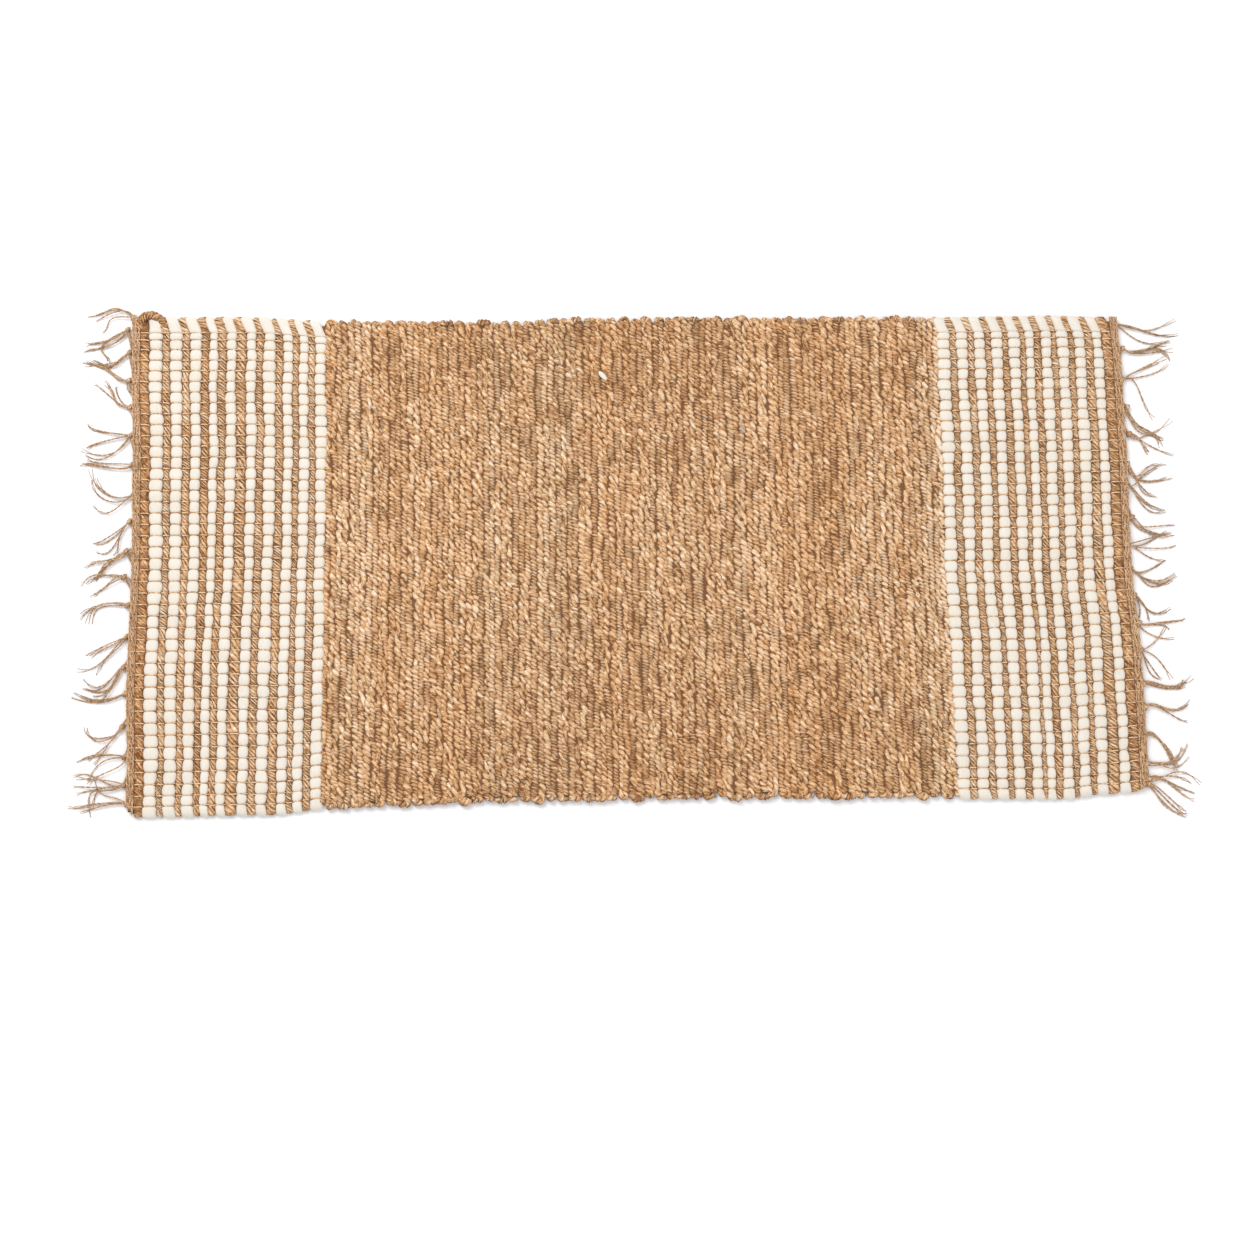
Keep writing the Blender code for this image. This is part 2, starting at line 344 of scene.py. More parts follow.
class Finish:
    """A matt finish: its material, and one way to add any node to it."""

    def __init__(self, name, roughness):
        self.material = bpy.data.materials.new(name)
        self.material.use_nodes = True
        self.tree = self.material.node_tree
        self.shader = self.tree.nodes["Principled BSDF"]
        self.shader.inputs["Roughness"].default_value = roughness
        self.shader.inputs["Specular IOR Level"].default_value = 0.25

    def node(self, kind, settings=None, inputs=None, output=0):
        made = self.tree.nodes.new(kind)
        for setting, value in (settings or {}).items():
            if setting == "stops":
                self.set_stops(made.color_ramp, value)
            else:
                setattr(made, setting, value)
        for socket, value in (inputs or {}).items():
            self.join(value, made.inputs[socket])
        return Wire(self, made.outputs[output])

    def join(self, value, socket):
        if isinstance(value, Wire):
            self.tree.links.new(value.socket, socket)
        else:
            socket.default_value = value

    def set_stops(self, ramp_of_colours, stops):
        while len(ramp_of_colours.elements) < len(stops):
            ramp_of_colours.elements.new(0.5)
        for element, (position, colour) in zip(ramp_of_colours.elements, stops):
            element.position = position
            element.color = (*colour, 1)

    def plain(self, colour):
        """One colour all over."""
        self.shader.inputs["Base Color"].default_value = (*colour, 1)
        return self.material

    def strand(self):
        """A strand's fibre coordinates, and its shade, hue and how clear it is of dust and painted shade.
        """
        fibre = self.node("ShaderNodeAttribute", {"attribute_name": "fibre"}, output=1)
        tint = self.node("ShaderNodeAttribute", {"attribute_name": "tint"}, output=1)
        parts = self.node("ShaderNodeSeparateXYZ", {}, {0: tint}).socket.node
        return fibre, *(Wire(self, part) for part in parts.outputs)

    def streaks(self, fibre, stretch, detail):
        """Noise on the fibre coordinates. The less it is stretched along the strand, the longer it runs."""
        place = self.node("ShaderNodeVectorMath", {"operation": "MULTIPLY"}, {0: fibre, 1: stretch})
        return self.node("ShaderNodeTexNoise", {}, {"Vector": place, "Scale": 1.0, "Detail": detail})

    def multiplied(self, share, colour, by):
        """A colour multiplied by another, as far as the share says."""
        settings = {"data_type": "RGBA", "blend_type": "MULTIPLY"}
        return self.node("ShaderNodeMix", settings, {0: share, 6: colour, 7: (*by, 1)}, output=2)

    def show(self, colour, strength, relief, height):
        """The colour and the bump that the shader shows."""
        inputs = {"Strength": strength, "Distance": relief, "Height": height}
        bump = self.node("ShaderNodeBump", {}, inputs)
        self.join(colour, self.shader.inputs["Base Color"])
        self.join(bump, self.shader.inputs["Normal"])
        return self.material


WARM_HUE = (1.0, 0.86, 0.72)
# The dark brown that low and hidden parts of a jute strand are multiplied towards: dust, and painted shade.
DUST_AND_SHADE = (0.30, 0.19, 0.11)


def jute_finish(name, stops, relief, crevice):
    """Bast fibre: each strand has its own shade, fine fibres run along it, and dust and painted shade
    darken the gaps.
    """
    finish = Finish(name, 0.85)
    fibre, tone, hue, clear_of_dust_and_shade = finish.strand()
    streak = finish.streaks(fibre, (95.0, 850.0, 850.0), 3.0)
    coarse = finish.streaks(fibre, (200.0, 500.0, 500.0), 2.0)
    fleck = finish.streaks(fibre, (380.0, 420.0, 420.0), 2.0)
    shade = tone * 0.23 + 0.50 + (streak - 0.5) * 1.0 + (coarse - 0.5) * 1.0 + (fleck - 0.5) * 1.5
    colour = finish.node("ShaderNodeValToRGB", {"stops": stops}, {0: shade})
    warm = finish.multiplied(hue * 0.5 + 0.5, colour, WARM_HUE)
    # Low and hidden parts of a strand are multiplied towards that dark brown as dust and painted shade; the
    # crevice sets how clear the deepest parts stay.
    gap = finish.node("ShaderNodeMapRange", {}, {0: clear_of_dust_and_shade, 1: 0.0, 2: 0.9, 3: crevice, 4: 1.0})
    dusted_and_shaded = finish.multiplied(1.0 - gap, warm, DUST_AND_SHADE)
    return finish.show(dusted_and_shaded, 0.6, relief, streak)


WEFT_JUTE_SHADES = [
    (0.00, (0.230, 0.095, 0.035)),
    (0.26, (0.560, 0.320, 0.150)),
    (0.50, (0.790, 0.530, 0.300)),
    (0.74, (0.920, 0.720, 0.500)),
    (0.96, (0.970, 0.880, 0.760)),
]
weft_jute = jute_finish("weft_jute", WEFT_JUTE_SHADES, relief=0.0012, crevice=0.0)

# Where each run lies: beaten up unevenly, and wandering along its length. It fills the room between its
# neighbours, so where they draw apart it swells.
UNEVEN_BEAT = 0.14
RUN_WANDER = ((0.14, 16, 5), (0.24, 56, 11))  # reach in pitches, bends in a run, seed

field_length = field_high.x - field_low.x
run_pitch = field_length / RUNS
run_steady = np.cumsum(1 + np.random.default_rng(6).uniform(-UNEVEN_BEAT, UNEVEN_BEAT, RUNS))
run_steady = field_low.x + field_length * (run_steady - run_steady[0] / 2) / run_steady[-1]
run_wander = sum(reach * drift(RUNS, RUN_RINGS, bends, seed) for reach, bends, seed in RUN_WANDER)
run_places = run_steady[:, None] + run_pitch * run_wander
run_edges = np.concatenate([
    np.full((1, RUN_RINGS), field_low.x),
    (run_places[1:] + run_places[:-1]) / 2,
    np.full((1, RUN_RINGS), field_high.x),
])
run_widths = np.diff(run_edges, axis=0)
run_tones = np.random.default_rng(7).normal(0, 0.15, RUNS) + 0.35 * drift(1, RUNS, 20, 8)[0]
run_hues = 0.6 * drift(1, RUNS, 30, 9)[0]
turn_reach = HALF_WIDTH - TURN_INSET
run_steps = np.linspace(-turn_reach, turn_reach, RUN_RINGS)


def field_route():
    """The whole serpentine of the field's yarn: up one run, round the edge, and down the next."""
    s, t, width = [], [], []
    bend = np.linspace(0, math.pi, TURN_RINGS + 2)[1:-1]
    around = squared_off(np.cos(bend), TURN_SQUARE)
    outward = squared_off(np.sin(bend), TURN_SQUARE)
    for run in range(RUNS):
        upward = 1 if run % 2 == 0 else -1
        s.append(run_places[run][::upward])
        t.append(run_steps[::upward])
        width.append(run_widths[run][::upward])
        edge = -1 if upward == 1 else 0
        following = min(run + 1, RUNS - 1)
        here, there = run_places[run][edge], run_places[following][edge]
        s.append((here + there) / 2 - (there - here) / 2 * around)
        t.append(upward * (turn_reach + max(there - here, LEAST_TURN) / 2 * outward))
        width.append(np.full(TURN_RINGS, (run_widths[run][edge] + run_widths[following][edge]) / 2))
    return np.concatenate(s), np.concatenate(t), np.concatenate(width)


route_s, route_t, route_width = field_route()
route_turn = yarn_turn(route_s, route_t, FIELD_TWIST, 0.75, 21)
span = RUN_RINGS + TURN_RINGS
field_tube = plain_tube(RUNS_IN_PIECE * span, FIELD_SIDES)
for number in range(RUNS // RUNS_IN_PIECE):
    part = slice(number * RUNS_IN_PIECE * span, (number + 1) * RUNS_IN_PIECE * span)
    runs = slice(number * RUNS_IN_PIECE, (number + 1) * RUNS_IN_PIECE)
    route = yarn_route(
        route_s[part],
        route_t[part],
        route_width[part] * FIELD_FULLNESS,
        route_turn[part],
        crease=(-0.5, 0.5, 0.55),
        share=0.66,
        lumpiness=0.28,
    )
    # The yarn is a little lighter up the middle of the rug than at its long edges.
    tones = np.repeat(run_tones[runs], span) + 0.22 * np.cos(2.6 * route_t[part] / HALF_WIDTH)
    hues = np.repeat(run_hues[runs], span)
    plies = spun(field_tube, route, 2, 100 + 10 * number, tones, hues)
    piece = strand_piece(f"centre_field_picks_{number + 1:02}", field_tube, plies, weft_jute, span)
    woven_in(piece)

# ------------------------------------------------
# Cotton picks: soft, untwisted roving laid in as thick as the jute. Each warp pair pinches it into a row
# of small square pillows, and at the far edge every strand slants as it wraps over.
WARP_PAIRS = 43
NEAR_PAIR = -0.2865
FAR_PAIR = 0.2790
# Rings of a pillow between two warp pairs, and how blunt the pillow is.
PILLOW_STEPS = (0.0, 0.04, 0.1, 0.2, 0.35, 0.5, 0.65, 0.8, 0.9, 0.96)
PILLOW_BLUNT = 2.4
PILLOW_FULL = 0.45
# A roving's width and height where it is pinched, and how much a pillow adds.
PINCHED_WIDTH, PILLOW_WIDTH = 0.60, 0.47
PINCHED_HEIGHT, PILLOW_HEIGHT = 0.56, 0.44
# Rings of a roving's end beyond the outer pair, and how blunt the end is.
END_STEPS = 12
END_BLUNT = 3.5
COTTON_SIDES = 12
ROVING_SQUARE = 0.72
# How far a strand's end draws in, in width and in height, as it rounds the edge of the cloth.
END_NARROWS = 0.003
END_SINKS = 0.009
EDGE_SLANT = 0.0080
CORNER_SLANT = 0.001

pair_pitches = np.concatenate([[0.88, 0.98], np.linspace(1.06, 0.97, WARP_PAIRS - 5), [0.90, 0.66]])
pair_places = np.concatenate([[0], np.cumsum(pair_pitches)]) / pair_pitches.sum()
pair_places = NEAR_PAIR + (FAR_PAIR - NEAR_PAIR) * pair_places

# Each cotton pick's width, and how far it was beaten out of its even place, in millimetres, from the
# heading inwards.
COTTON_WIDTHS = {
    "left": (13.6, 12.0, 11.3, 8.8, 10.7, 10.7, 11.8, 10.2, 9.9, 11.2),
    "right": (9.5, 11.4, 11.2, 10.5, 8.9, 11.0, 11.1, 11.0, 11.2, 12.5),
}
COTTON_STRAYS = {
    "left": (0.0, -1.6, -3.7, -6.4, -8.8, -5.8, -4.5, -2.2, -2.5, 0.0),
    "right": (0.0, -4.0, -4.2, -3.7, -3.2, 0.4, 0.3, 1.2, 1.0, 0.0),
}
# A roving's half width as a share of its width: it is soft, so its pillows stand past their place.
COTTON_FULLNESS = 0.60
BAND_SAMPLES = 320
band_t = np.linspace(-HALF_WIDTH, HALF_WIDTH, BAND_SAMPLES)


def cotton_finish():
    """Undyed cotton: off-white, matt, with a faint run of fibres."""
    finish = Finish("weft_cotton", 0.9)
    fibre, tone, _, _ = finish.strand()
    streak = finish.streaks(fibre, (160.0, 1500.0, 1500.0), 4.0)
    stops = [(0.2, (0.69, 0.62, 0.52)), (0.5, (0.77, 0.715, 0.63)), (0.8, (0.81, 0.765, 0.69))]
    colour = finish.node("ShaderNodeValToRGB", {"stops": stops}, {0: streak + tone * 0.1})
    return finish.show(colour, 0.4, 0.0005, streak)


def selvedge_slant(t, amount=EDGE_SLANT):
    """How far a strand has leant to the left where it wraps over the far edge of the cloth."""
    beyond = ramp(t, pair_places[-1], HALF_WIDTH)
    near = ramp(t, pair_places[0], -HALF_WIDTH)
    return -amount * beyond + 0.25 * amount * near**1.5


def pillow_steps():
    """Places of a cotton pick's rings across the rug, and how full the roving is at each, from 0 to 1."""
    low, high = -HALF_WIDTH, HALF_WIDTH
    reach = 1 - np.cos(np.linspace(0, math.pi / 2, END_STEPS + 1))
    t = list(low + (pair_places[0] - low) * reach[:-1])
    full = list(np.sqrt(1 - (1 - reach[:-1]) ** END_BLUNT))
    for first, last in zip(pair_places[:-1], pair_places[1:]):
        t += [first + (last - first) * step for step in PILLOW_STEPS]
        full += [(1 - abs(2 * step - 1) ** PILLOW_BLUNT) ** PILLOW_FULL for step in PILLOW_STEPS]
    t += list(high - (high - pair_places[-1]) * reach[::-1])
    full += list(np.sqrt(1 - (1 - reach[::-1]) ** END_BLUNT))
    return np.array(t), np.array(full)


def end_taper(t, reach):
    """Falls from 1 to 0 over the last part of a strand, so that it ends round."""
    left = np.clip((HALF_WIDTH - np.abs(t)) / reach, 0, 1)
    return np.sqrt(1 - (1 - left) ** 2)


def cotton_lines(side, seed):
    """The middle and the half width of a band's ten cotton picks, all along their length."""
    widths, strays = np.array(COTTON_WIDTHS[side]), np.array(COTTON_STRAYS[side])
    boxes = [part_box(f"{side}_cotton_pick_{number:02}") for number in range(1, 11)]
    even = np.array([(low.x + high.x) / 2 for low, high in boxes])
    spread = 1 - 0.4 * band_t / 0.25
    middle = even[:, None] + MM * strays[:, None] * spread + 0.0007 * drift(10, BAND_SAMPLES, 34, seed)
    uneven = 0.09 * drift(10, BAND_SAMPLES, 18, seed + 1) + 0.12 * drift(10, BAND_SAMPLES, 46, seed + 2)
    return middle, COTTON_FULLNESS * MM * widths[:, None] * (1 + uneven)


def cotton_strand(tube, middle, half_width, t, full, slant, seed):
    """One cotton pick: a flattened roving, drawn in where each warp pair crosses it."""
    rings = len(t)
    pinch = np.where((t > pair_places[-1]) | (t < pair_places[0]), 1.0, full)
    width = np.interp(t, band_t, half_width) * (PINCHED_WIDTH + PILLOW_WIDTH * pinch)
    width *= end_taper(t, END_NARROWS)
    width *= 1 + 0.04 * np.clip((t - pair_places[-1]) / 0.012, 0, 1)
    height = PICK_HALF_HEIGHT * (PINCHED_HEIGHT + PILLOW_HEIGHT * pinch) * end_taper(t, END_SINKS)
    middle = np.interp(t, band_t, middle) + selvedge_slant(t, slant)
    z = MIDDLE_Z - (1 - end_taper(t, END_SINKS)) * 0.002
    ring, angle = tube.ring, tube.angle
    across = width[ring] * squared_off(np.cos(angle), ROVING_SQUARE)
    up = height[ring] * squared_off(np.sin(angle), ROVING_SQUARE)
    shade = drift(1, rings, 90, seed + 2)[0]
    return SimpleNamespace(
        place=lay(middle[ring] + across, t[ring], z[ring] + up),
        fibre=np.stack([t[ring], across, up + fibre_shift(seed)], -1),
        tint=np.stack([shade[ring], 0 * up, 0 * up + 1], -1),
    )


weft_cotton = cotton_finish()
pillow_t, pillow_full = pillow_steps()
cotton_tube = plain_tube(len(pillow_t), COTTON_SIDES)
band_lines = {"left": cotton_lines("left", 30), "right": cotton_lines("right", 40)}
for side_number, side in enumerate(("left", "right")):
    middles, half_widths = band_lines[side]
    for number in range(1, 11):
        node = f"{side}_cotton_pick_{number:02}"
        line = (middles[number - 1], half_widths[number - 1], pillow_t, pillow_full)
        # The corner turn holds the first pick of the left band straight.
        slant = CORNER_SLANT if node == "left_cotton_pick_01" else EDGE_SLANT
        strand = cotton_strand(cotton_tube, *line, slant, 400 + 40 * side_number + number)
        piece = strand_piece(f"{side}_cotton_roving_{number:02}", cotton_tube, [strand], weft_cotton)
        woven_in(piece, node)

# A stray tuft of the same cotton is caught between two picks of the field.
TUFT = Vector((-0.0345, 0.2236, MIDDLE_Z + 0.0052))
TUFT_HALF_SIZES = Vector((0.0031, 0.0074, 0.0021))

shape = bmesh.new()
bmesh.ops.create_icosphere(shape, subdivisions=3, radius=1)
bmesh.ops.scale(shape, verts=shape.verts, vec=TUFT_HALF_SIZES)
bmesh.ops.rotate(shape, verts=shape.verts, matrix=Matrix.Rotation(math.radians(42), 3, "Z"))
bmesh.ops.translate(shape, verts=shape.verts, vec=TUFT)
tuft = finished("cotton_tuft", shape, weft_cotton)
tuft.data.shade_smooth()
woven_in(tuft)

# ------------------------------------------------
# Jute picks of the bands: the same fibre as the field's, spun of more and finer plies, and laid in
# loosely between the cotton picks. The outer pick, between each band and its heading, is the thickest.
BAND_PLIES = 5
OUTER_PLIES = 7
# A full turn of the plies takes this many half widths of the yarn.
BAND_TWIST = 4.2
# A yarn's half width as a share of the gap between two cotton picks, and of half the outer gap.
BAND_FULLNESS = 0.60
OUTER_FULLNESS = 1.2
ROPE_HALF_HEIGHT = 0.0045
# The fine picks of a heading take this much of the cloth's end.
HEADING_FINE = 0.0095

band_tube = plain_tube(BAND_SAMPLES, 5)


def pinched(t):
    """1 where a warp pair crosses, falling to 0 between the pairs."""
    off = np.abs(t[:, None] - pair_places).min(1)
    return np.exp(-((off / 0.0018) ** 2))


def rope_route(middle, half_width, seed):
    """A band's jute pick, thick and thin along its length, and slanting over the far edge."""
    slub = drift(1, BAND_SAMPLES, 22, seed + 1)[0]
    spread = 1 + 0.30 * np.clip((band_t - pair_places[-1]) / 0.010, 0, 1)
    narrowed = 0.25 + 0.75 * end_taper(band_t, 0.004)
    sunk = end_taper(band_t, END_SINKS)
    return yarn_route(
        middle + selvedge_slant(band_t),
        band_t * (1 - 0.0008 / HALF_WIDTH),
        half_width * spread * (1 + 0.04 * slub) * narrowed,
        yarn_turn(0 * band_t, band_t, BAND_TWIST * half_width.mean(), 0.5, seed + 2),
        crease=(-0.2, 0.7, 0.1),
        z=MIDDLE_Z - 0.0002 - (1 - sunk) * 0.0015,
        half_height=ROPE_HALF_HEIGHT * (1 + 0.08 * slub - 0.28 * pinched(band_t)) * (0.3 + 0.7 * sunk),
        share=0.42,
        unevenness=0.25,
        lumpiness=0.35,
        # Painted shadow darkens the yarn beside each warp pair.
        dent=0.35 * pinched(band_t),
    )


def add_rope(name, middle, half_width, seed, plies, tone, hue, node=None):
    """One jute pick of a band, a little lighter or darker than its neighbours."""
    rng = np.random.default_rng(seed)
    route = rope_route(middle, half_width, seed)
    strands = spun(band_tube, route, plies, seed, tone + rng.normal(0, 0.15), hue + rng.normal(0, 0.25))
    woven_in(strand_piece(name, band_tube, strands, weft_jute), node)


for side_number, side in enumerate(("left", "right")):
    inward = 1 if side == "left" else -1
    middles, half_widths = band_lines[side]
    for number in range(1, 10):
        outer_side = middles[number - 1] + inward * half_widths[number - 1]
        inner_side = middles[number] - inward * half_widths[number]
        rope_half = np.abs(inner_side - outer_side) * BAND_FULLNESS
        seed = 600 + 90 * side_number + 5 * number
        name, node = f"{side}_jute_rope_{number:02}", f"{side}_jute_pick_{number:02}"
        add_rope(name, (outer_side + inner_side) / 2, rope_half, seed, BAND_PLIES, 0.15, 0.2, node)
    cloth_end = CLOTH_LEFT if side == "left" else CLOTH_RIGHT
    heading_side = cloth_end + inward * HEADING_FINE
    cotton_side = middles[0] - inward * half_widths[0]
    rope_half = np.abs(cotton_side - heading_side) / 2 * OUTER_FULLNESS
    middle = (heading_side + cotton_side) / 2
    name = f"{side}_outer_jute_rope"
    add_rope(name, middle, rope_half, 800 + 50 * side_number, OUTER_PLIES, -1.0, 0.7)

# At the far left corner the outer pick turns over the first cotton pick and dives in beside it.
ARCH_RINGS = 26
ARCH_THICK = 0.0062
ARCH_THINS = 0.0014
ARCH_HALF_HEIGHT = 0.0036
ARCH_TWIST = 0.018
ARCH_POINTS = np.array([
    (-0.6015, 0.2780, 0.0050),
    (-0.6005, 0.2910, 0.0085),
    (-0.5950, 0.2995, 0.0095),
    (-0.5870, 0.3010, 0.0095),
    (-0.5785, 0.2985, 0.0095),
    (-0.5715, 0.2920, 0.0090),
    (-0.5680, 0.2820, 0.0080),
    (-0.5670, 0.2710, 0.0050),
])

arch_tube = plain_tube(ARCH_RINGS, 5)
arch_place = np.linspace(0, 1, ARCH_RINGS)
arch_stations = np.linspace(0, 1, len(ARCH_POINTS))
arch_s, arch_t, arch_z = (np.interp(arch_place, arch_stations, column) for column in ARCH_POINTS.T)
arch_ends = np.sqrt(1 - (2 * arch_place - 1) ** 8)
arch_route = yarn_route(
    arch_s,
    arch_t,
    (ARCH_THICK - ARCH_THINS * arch_place) * arch_ends,
    yarn_turn(arch_s, arch_t, ARCH_TWIST, 0.2, 71),
    crease=(-0.3, 0.6, 0.1),
    z=arch_z,
    half_height=ARCH_HALF_HEIGHT * arch_ends,
    share=0.50,
    lumpiness=0.2,
)
arch_plies = spun(arch_tube, arch_route, 4, 70, -0.5, 0.4)
woven_in(strand_piece("left_corner_turn", arch_tube, arch_plies, weft_jute))

# ------------------------------------------------
# Headings: five picks of fine two-ply jute at each end, beaten hard against the outer pick to lock it.
# The warp that goes over and under them lifts and sinks each yarn all along.
HEADING_PICKS = 5
HEADING_RINGS = 6 * WARP_PAIRS
HEADING_TWIST = 0.014
HEADING_HALF_HEIGHT = 0.0032
# A yarn's half width as a share of the room it has, and how far the warp lifts and sinks it.
HEADING_FULLNESS = 0.75
HEADING_WAVE = 0.0009
# How far a heading stops short of the edges, and how much more of the outermost yarn is missing at the
# near edge, which slants the corner.
HEADING_INSET = 0.001
HEADING_SHORT = {"left": 0.0125, "right": 0.006}
HEADING_JUTE_SHADES = [
    (0.05, (0.360, 0.215, 0.120)),
    (0.35, (0.570, 0.380, 0.225)),
    (0.62, (0.690, 0.490, 0.320)),
    (0.92, (0.800, 0.630, 0.450)),
]

heading_jute = jute_finish("heading_jute", HEADING_JUTE_SHADES, relief=0.0006, crevice=0.45)
heading_tube = plain_tube(HEADING_RINGS, 6)
heading_pitch = HEADING_FINE / HEADING_PICKS
for side_number, side in enumerate(("left", "right")):
    inward = 1 if side == "left" else -1
    cloth_end = CLOTH_LEFT if side == "left" else CLOTH_RIGHT
    strands = []
    for number in range(HEADING_PICKS):
        seed = 900 + 20 * side_number + number
        short = HEADING_SHORT[side] * (1 - 0.7 * number / (HEADING_PICKS - 1))
        near_end = -HALF_WIDTH + HEADING_INSET + short
        heading_t = np.linspace(near_end, HALF_WIDTH - HEADING_INSET, HEADING_RINGS)
        wander = 0.0004 * drift(1, HEADING_RINGS, 50, seed)[0]
        nearest_pair = np.interp(heading_t, pair_places, np.arange(WARP_PAIRS))
        wave = HEADING_WAVE * np.cos(math.pi * (nearest_pair + number))
        route = yarn_route(
            cloth_end + inward * heading_pitch * (number + 0.5) + wander,
            heading_t,
            heading_pitch * HEADING_FULLNESS,
            yarn_turn(0 * heading_t, heading_t, HEADING_TWIST, 0.3, seed),
            crease=(-0.5, 0.5, 0.55),
            z=MIDDLE_Z + 0.0003 + wave,
            half_height=HEADING_HALF_HEIGHT,
            share=0.70,
            unevenness=0.12,
            lumpiness=0.15,
        )
        strands += spun(heading_tube, route, 2, seed)
    piece = strand_piece(f"{side}_heading_yarns", heading_tube, strands, heading_jute)
    woven_in(piece, f"{side}_heading_band")

# ------------------------------------------------
# Warp: pairs of fine jute cords under tension. One cord of a pair lies over the cotton picks and the
# other over the jute picks, so each line across the bands is two cords side by side. In the field the
# close picks bury them.
TASSELS = 19
CORD_RADIUS = 0.00075
CORD_SIDES = 5
PAIR_SPREAD = 0.0008
# How far each cord of a pair swings from the middle of the cloth: the first goes over the cotton picks,
# the second over the jute picks.
CORD_SWINGS = {1: 0.0037, -1: 0.0041}
FIELD_WAVE = 0.25
HEADING_WAVES = 3
HEADING_CLIMB = 1.05
# How a cord climbs onto a pick: places across the pick, and how far up it is there.
CLIMB = ((0.04, 0.1), (0.14, 0.9), (0.5, 1.0), (0.86, 0.9))
WARP_JUTE_SHADES = [
    (0.10, (0.360, 0.210, 0.115)),
    (0.40, (0.600, 0.410, 0.250)),
    (0.65, (0.740, 0.550, 0.365)),
    (0.90, (0.870, 0.710, 0.520)),
]

warp_jute = jute_finish("warp_jute", WARP_JUTE_SHADES, relief=0.0003, crevice=0.6)


def warp_steps():
    """Stations of a warp cord along the rug: s, and which way a pair's first cord goes there, -1 to 1."""
    stations = []
    for side in ("left", "right"):
        outward = -1 if side == "left" else 1
        edge = CLOTH_LEFT if side == "left" else CLOTH_RIGHT
        middles, half_widths = (lines.mean(1) for lines in band_lines[side])
        for step in range(HEADING_WAVES):
            inset = HEADING_FINE * (step + 0.5) / HEADING_WAVES
            stations.append((edge - outward * inset, HEADING_CLIMB * (-1) ** step))
        outer_side = edge - outward * HEADING_FINE
        for middle, half_width in zip(middles, half_widths):
            cotton_side = middle + outward * half_width
            inner_side = cotton_side - 2 * outward * half_width
            for start, end, way in ((outer_side, cotton_side, -1), (cotton_side, inner_side, 1)):
                stations += [(start + part * (end - start), way * height) for part, height in CLIMB]
            outer_side = inner_side
    for run in range(0, RUNS, 2):
        stations.append((field_low.x + (run + 0.5) * run_pitch, FIELD_WAVE * (-1) ** (run // 2)))
    return np.array(sorted(stations)).T


def cord_strand(tube, s, t, z, radius, seed, tone=0.0, hue=0.0):
    """A single round cord along a route of s, t and z."""
    ring, angle = tube.ring, tube.angle
    ahead = np.stack([np.gradient(s), np.gradient(t)])
    ahead /= np.maximum(np.linalg.norm(ahead, axis=0), 1e-9)
    along = length_along(s, t)
    shade = tone + 0.5 * drift(1, tube.rings, max(2, int(along[-1] / 0.03)), seed)[0]
    across, up = radius[ring] * np.cos(angle), radius[ring] * np.sin(angle)
    place = [
        s[ring] + ahead[1][ring] * across,
        t[ring] - ahead[0][ring] * across,
        np.maximum(z[ring] + up, FLOOR_GAP),
    ]
    return SimpleNamespace(
        place=np.stack(place, -1),
        fibre=np.stack([along[ring], across, up + fibre_shift(seed)], -1),
        tint=np.stack([shade[ring], 0 * up + hue, 0 * up + 1], -1),
    )


warp_s, warp_way = warp_steps()
warp_tube = plain_tube(len(warp_s), CORD_SIDES)
warp_radius = np.full(len(warp_s), CORD_RADIUS)
bundle_ends = np.rint(np.arange(TASSELS + 1) * WARP_PAIRS / TASSELS).astype(int)
for number in range(TASSELS):
    strands = []
    for pair in range(bundle_ends[number], bundle_ends[number + 1]):
        for cord, way in ((0, 1), (1, -1)):
            seed = 1000 + 2 * pair + cord
            # The two cords lie side by side, and close up where they cross.
            apart = way * PAIR_SPREAD * (1 - 0.7 * np.abs(warp_way))
            t = pair_places[pair] + apart + 0.0004 * drift(1, len(warp_s), 60, seed)[0]
            z = MIDDLE_Z + way * warp_way * CORD_SWINGS[way]
            # The cord over the jute picks is lighter than the cord over the cotton picks: partly a real
            # difference between the cords, partly painted shade on the cord in the dents between the cotton
            # pillows and painted light on the cord over the jute.
            strand = cord_strand(warp_tube, warp_s, t, z, warp_radius, seed, 0.5 - 0.5 * way)
            strand.place = lay(*strand.place.T)
            strands.append(strand)
    piece = strand_piece(f"warp_cords_{number + 1:02}", warp_tube, strands, warp_jute)
    woven_in(piece, f"warp_bundle_{number + 1:02}")

# ------------------------------------------------
# Ground, in place of the imported centre field: the inner fibre of the picks, which fills the cloth between
# the strands that show. It is loose jute, pressed together as the picks are beaten up. Its very dark brown
# is partly the jute's own colour and partly painted shade, for the shadow deep in the gaps between strands.
GROUND_THICKNESS = 0.0030
GROUND_SHORT = 0.006
GROUND_NARROW = 0.014

shape = bmesh.new()
bmesh.ops.create_grid(shape, x_segments=240, y_segments=120, size=0.5)
ground_length = CLOTH_RIGHT - CLOTH_LEFT - GROUND_SHORT
ground_width = 2 * HALF_WIDTH - GROUND_NARROW
spots = np.array([corner.co for corner in shape.verts])
ground_s = (CLOTH_LEFT + CLOTH_RIGHT) / 2 + spots[:, 0] * ground_length
for corner, place in zip(shape.verts, lay(ground_s, spots[:, 1] * ground_width, MIDDLE_Z)):
    corner.co = place
# The ground's very dark brown is painted shade for the gaps between the strands.
ground = finished("woven_ground", shape, Finish("ground_jute_painted_shade", 0.95).plain((0.19, 0.09, 0.04)))
thick = ground.modifiers.new("thickness", "SOLIDIFY")
thick.thickness = GROUND_THICKNESS
thick.offset = 0
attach(ground, "root")
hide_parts("centre_field_weft")

# ------------------------------------------------
# Fringe: the warp ends of two or three pairs tied in an overhand knot, then left loose. Each cord end
# is its two plies, which open at the tip.
STRAND_RINGS = 52
LEAD_STEPS = np.array([0, 0.3, 0.6, 0.85])
